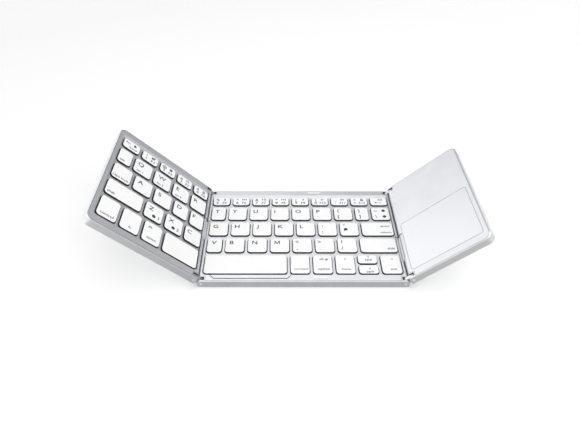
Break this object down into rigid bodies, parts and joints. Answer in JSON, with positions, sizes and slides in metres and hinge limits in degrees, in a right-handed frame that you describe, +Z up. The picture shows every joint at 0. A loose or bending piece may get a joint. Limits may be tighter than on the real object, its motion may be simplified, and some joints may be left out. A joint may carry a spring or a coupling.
{
  "type": "folding keyboard",
  "caption": "Pocket keyboard in three panels: keyed centre and left wing, touchpad wing at the right, both wings folding over the centre on two-pin hinges, with sprung keys.",
  "frame": {"origin": "centre of the underside of the centre panel's bottom cover; the rubber feet reach 0.6 mm below it", "axes": "+X to the right, along the row of panels; +Y to the rear; +Z up, out of the key side of the centre panel"},
  "size_m": [0.2628, 0.098, 0.0703],
  "materials": {
    "cover": "satin, fine blasted",
    "frame": "silver paint, satin",
    "keycap": "matt white",
    "plate": "plain",
    "dome_rubber": "matt",
    "pad_rubber": "matt white",
    "foot_rubber": "matt",
    "touchpad": "satin",
    "board": "solder mask",
    "battery": "foil",
    "steel": "bright",
    "lens": "clear",
    "arm": "polished",
    "bar": "silver paint"
  },
  "bodies": {
    "centre": {"centre_bottom_cover": "cover", "centre_key_frame": "frame", "centre_key_plate": "plate", "centre_dome_sheet": "dome_rubber", "closing_pads": "pad_rubber", "centre_feet": "foot_rubber"},
    "left_link": {"left_hinge_arms": "arm", "left_hinge_pins": "steel", "left_cable_cover": "bar"},
    "left_wing": {"left_bottom_cover": "cover", "left_key_frame": "frame", "left_key_plate": "plate", "left_dome_sheet": "dome_rubber", "left_feet": "foot_rubber"},
    "right_link": {"right_hinge_arms": "arm", "right_hinge_pins": "steel", "right_cable_cover": "bar"},
    "right_wing": {"right_bottom_cover": "cover", "right_top_cover": "frame", "touchpad": "touchpad", "touchpad_board": "board", "controller_board": "board", "battery": "battery", "charging_port": "steel", "indicator_lenses": "lens", "right_feet": "foot_rubber"},
    "centre_number_keys": {"centre_number_keys": "keycap"},
    "upper_letter_keys": {"upper_letter_keys": "keycap"},
    "middle_letter_keys": {"middle_letter_keys": "keycap"},
    "lower_letter_keys": {"lower_letter_keys": "keycap"},
    "key_enter": {"key_enter": "keycap"},
    "key_right_shift": {"key_right_shift": "keycap"},
    "key_right_space": {"key_right_space": "keycap"},
    "key_command": {"key_command": "keycap"},
    "key_right_option": {"key_right_option": "keycap"},
    "key_home": {"key_home": "keycap"},
    "key_page_up": {"key_page_up": "keycap"},
    "key_page_down": {"key_page_down": "keycap"},
    "key_end": {"key_end": "keycap"},
    "left_number_keys": {"left_number_keys": "keycap"},
    "key_tab": {"key_tab": "keycap"},
    "key_q": {"key_q": "keycap"},
    "key_w": {"key_w": "keycap"},
    "key_e": {"key_e": "keycap"},
    "key_r": {"key_r": "keycap"},
    "key_caps_lock": {"key_caps_lock": "keycap"},
    "key_a": {"key_a": "keycap"},
    "key_s": {"key_s": "keycap"},
    "key_d": {"key_d": "keycap"},
    "key_f": {"key_f": "keycap"},
    "key_left_shift": {"key_left_shift": "keycap"},
    "key_z": {"key_z": "keycap"},
    "key_x": {"key_x": "keycap"},
    "key_c": {"key_c": "keycap"},
    "key_control": {"key_control": "keycap"},
    "key_function": {"key_function": "keycap"},
    "key_left_option": {"key_left_option": "keycap"},
    "key_left_space": {"key_left_space": "keycap"}
  },
  "joints": [
    {"name": "left_inner_hinge", "type": "hinge", "parent": "centre", "child": "left_link", "pos_m": [-0.0728, 0, 0.0039], "axis": [0, 1, 0], "range_deg": [-44.5, 45.5]},
    {"name": "left_outer_hinge", "type": "hinge", "parent": "left_link", "child": "left_wing", "pos_m": [-0.07751, 0, 0.00853], "axis": [0, 1, 0], "range_deg": [0, 90]},
    {"name": "right_inner_hinge", "type": "hinge", "parent": "centre", "child": "right_link", "pos_m": [0.0728, 0, 0.0039], "axis": [0, -1, 0], "range_deg": [-44.5, 45.5]},
    {"name": "right_outer_hinge", "type": "hinge", "parent": "right_link", "child": "right_wing", "pos_m": [0.07751, 0, 0.00853], "axis": [0, -1, 0], "range_deg": [0, 90]},
    {"name": "centre_number_keys_press", "type": "slide", "parent": "centre", "child": "centre_number_keys", "axis": [0, 0, -1], "range_m": [0, 0.0013], "stiffness_N_per_m": 2700, "springref_m": -0.0004, "deforming": ["centre_dome_sheet"]},
    {"name": "upper_letter_keys_press", "type": "slide", "parent": "centre", "child": "upper_letter_keys", "axis": [0, 0, -1], "range_m": [0, 0.0013], "stiffness_N_per_m": 2700, "springref_m": -0.0004, "deforming": ["centre_dome_sheet"]},
    {"name": "middle_letter_keys_press", "type": "slide", "parent": "centre", "child": "middle_letter_keys", "axis": [0, 0, -1], "range_m": [0, 0.0013], "stiffness_N_per_m": 2100, "springref_m": -0.0004, "deforming": ["centre_dome_sheet"]},
    {"name": "lower_letter_keys_press", "type": "slide", "parent": "centre", "child": "lower_letter_keys", "axis": [0, 0, -1], "range_m": [0, 0.0013], "stiffness_N_per_m": 2100, "springref_m": -0.0004, "deforming": ["centre_dome_sheet"]},
    {"name": "enter_press", "type": "slide", "parent": "centre", "child": "key_enter", "axis": [0, 0, -1], "range_m": [0, 0.0013], "stiffness_N_per_m": 300, "springref_m": -0.0004, "deforming": ["centre_dome_sheet"]},
    {"name": "right_shift_press", "type": "slide", "parent": "centre", "child": "key_right_shift", "axis": [0, 0, -1], "range_m": [0, 0.0013], "stiffness_N_per_m": 300, "springref_m": -0.0004, "deforming": ["centre_dome_sheet"]},
    {"name": "right_space_press", "type": "slide", "parent": "centre", "child": "key_right_space", "axis": [0, 0, -1], "range_m": [0, 0.0013], "stiffness_N_per_m": 300, "springref_m": -0.0004, "deforming": ["centre_dome_sheet"]},
    {"name": "command_press", "type": "slide", "parent": "centre", "child": "key_command", "axis": [0, 0, -1], "range_m": [0, 0.0013], "stiffness_N_per_m": 300, "springref_m": -0.0004, "deforming": ["centre_dome_sheet"]},
    {"name": "right_option_press", "type": "slide", "parent": "centre", "child": "key_right_option", "axis": [0, 0, -1], "range_m": [0, 0.0013], "stiffness_N_per_m": 300, "springref_m": -0.0004, "deforming": ["centre_dome_sheet"]},
    {"name": "home_press", "type": "slide", "parent": "centre", "child": "key_home", "axis": [0, 0, -1], "range_m": [0, 0.0013], "stiffness_N_per_m": 300, "springref_m": -0.0004, "deforming": ["centre_dome_sheet"]},
    {"name": "page_up_press", "type": "slide", "parent": "centre", "child": "key_page_up", "axis": [0, 0, -1], "range_m": [0, 0.0013], "stiffness_N_per_m": 300, "springref_m": -0.0004, "deforming": ["centre_dome_sheet"]},
    {"name": "page_down_press", "type": "slide", "parent": "centre", "child": "key_page_down", "axis": [0, 0, -1], "range_m": [0, 0.0013], "stiffness_N_per_m": 300, "springref_m": -0.0004, "deforming": ["centre_dome_sheet"]},
    {"name": "end_press", "type": "slide", "parent": "centre", "child": "key_end", "axis": [0, 0, -1], "range_m": [0, 0.0013], "stiffness_N_per_m": 300, "springref_m": -0.0004, "deforming": ["centre_dome_sheet"]},
    {"name": "left_number_keys_press", "type": "slide", "parent": "left_wing", "child": "left_number_keys", "axis": [-0.7009, 0, -0.7133], "range_m": [0, 0.0013], "stiffness_N_per_m": 1500, "springref_m": -0.0004, "deforming": ["left_dome_sheet"]},
    {"name": "tab_press", "type": "slide", "parent": "left_wing", "child": "key_tab", "axis": [-0.7009, 0, -0.7133], "range_m": [0, 0.0013], "stiffness_N_per_m": 300, "springref_m": -0.0004, "deforming": ["left_dome_sheet"]},
    {"name": "q_press", "type": "slide", "parent": "left_wing", "child": "key_q", "axis": [-0.7009, 0, -0.7133], "range_m": [0, 0.0013], "stiffness_N_per_m": 300, "springref_m": -0.0004, "deforming": ["left_dome_sheet"]},
    {"name": "w_press", "type": "slide", "parent": "left_wing", "child": "key_w", "axis": [-0.7009, 0, -0.7133], "range_m": [0, 0.0013], "stiffness_N_per_m": 300, "springref_m": -0.0004, "deforming": ["left_dome_sheet"]},
    {"name": "e_press", "type": "slide", "parent": "left_wing", "child": "key_e", "axis": [-0.7009, 0, -0.7133], "range_m": [0, 0.0013], "stiffness_N_per_m": 300, "springref_m": -0.0004, "deforming": ["left_dome_sheet"]},
    {"name": "r_press", "type": "slide", "parent": "left_wing", "child": "key_r", "axis": [-0.7009, 0, -0.7133], "range_m": [0, 0.0013], "stiffness_N_per_m": 300, "springref_m": -0.0004, "deforming": ["left_dome_sheet"]},
    {"name": "caps_lock_press", "type": "slide", "parent": "left_wing", "child": "key_caps_lock", "axis": [-0.7009, 0, -0.7133], "range_m": [0, 0.0013], "stiffness_N_per_m": 300, "springref_m": -0.0004, "deforming": ["left_dome_sheet"]},
    {"name": "a_press", "type": "slide", "parent": "left_wing", "child": "key_a", "axis": [-0.7009, 0, -0.7133], "range_m": [0, 0.0013], "stiffness_N_per_m": 300, "springref_m": -0.0004, "deforming": ["left_dome_sheet"]},
    {"name": "s_press", "type": "slide", "parent": "left_wing", "child": "key_s", "axis": [-0.7009, 0, -0.7133], "range_m": [0, 0.0013], "stiffness_N_per_m": 300, "springref_m": -0.0004, "deforming": ["left_dome_sheet"]},
    {"name": "d_press", "type": "slide", "parent": "left_wing", "child": "key_d", "axis": [-0.7009, 0, -0.7133], "range_m": [0, 0.0013], "stiffness_N_per_m": 300, "springref_m": -0.0004, "deforming": ["left_dome_sheet"]},
    {"name": "f_press", "type": "slide", "parent": "left_wing", "child": "key_f", "axis": [-0.7009, 0, -0.7133], "range_m": [0, 0.0013], "stiffness_N_per_m": 300, "springref_m": -0.0004, "deforming": ["left_dome_sheet"]},
    {"name": "left_shift_press", "type": "slide", "parent": "left_wing", "child": "key_left_shift", "axis": [-0.7009, 0, -0.7133], "range_m": [0, 0.0013], "stiffness_N_per_m": 300, "springref_m": -0.0004, "deforming": ["left_dome_sheet"]},
    {"name": "z_press", "type": "slide", "parent": "left_wing", "child": "key_z", "axis": [-0.7009, 0, -0.7133], "range_m": [0, 0.0013], "stiffness_N_per_m": 300, "springref_m": -0.0004, "deforming": ["left_dome_sheet"]},
    {"name": "x_press", "type": "slide", "parent": "left_wing", "child": "key_x", "axis": [-0.7009, 0, -0.7133], "range_m": [0, 0.0013], "stiffness_N_per_m": 300, "springref_m": -0.0004, "deforming": ["left_dome_sheet"]},
    {"name": "c_press", "type": "slide", "parent": "left_wing", "child": "key_c", "axis": [-0.7009, 0, -0.7133], "range_m": [0, 0.0013], "stiffness_N_per_m": 300, "springref_m": -0.0004, "deforming": ["left_dome_sheet"]},
    {"name": "control_press", "type": "slide", "parent": "left_wing", "child": "key_control", "axis": [-0.7009, 0, -0.7133], "range_m": [0, 0.0013], "stiffness_N_per_m": 300, "springref_m": -0.0004, "deforming": ["left_dome_sheet"]},
    {"name": "function_press", "type": "slide", "parent": "left_wing", "child": "key_function", "axis": [-0.7009, 0, -0.7133], "range_m": [0, 0.0013], "stiffness_N_per_m": 300, "springref_m": -0.0004, "deforming": ["left_dome_sheet"]},
    {"name": "left_option_press", "type": "slide", "parent": "left_wing", "child": "key_left_option", "axis": [-0.7009, 0, -0.7133], "range_m": [0, 0.0013], "stiffness_N_per_m": 300, "springref_m": -0.0004, "deforming": ["left_dome_sheet"]},
    {"name": "left_space_press", "type": "slide", "parent": "left_wing", "child": "key_left_space", "axis": [-0.7009, 0, -0.7133], "range_m": [0, 0.0013], "stiffness_N_per_m": 300, "springref_m": -0.0004, "deforming": ["left_dome_sheet"]}
  ]
}
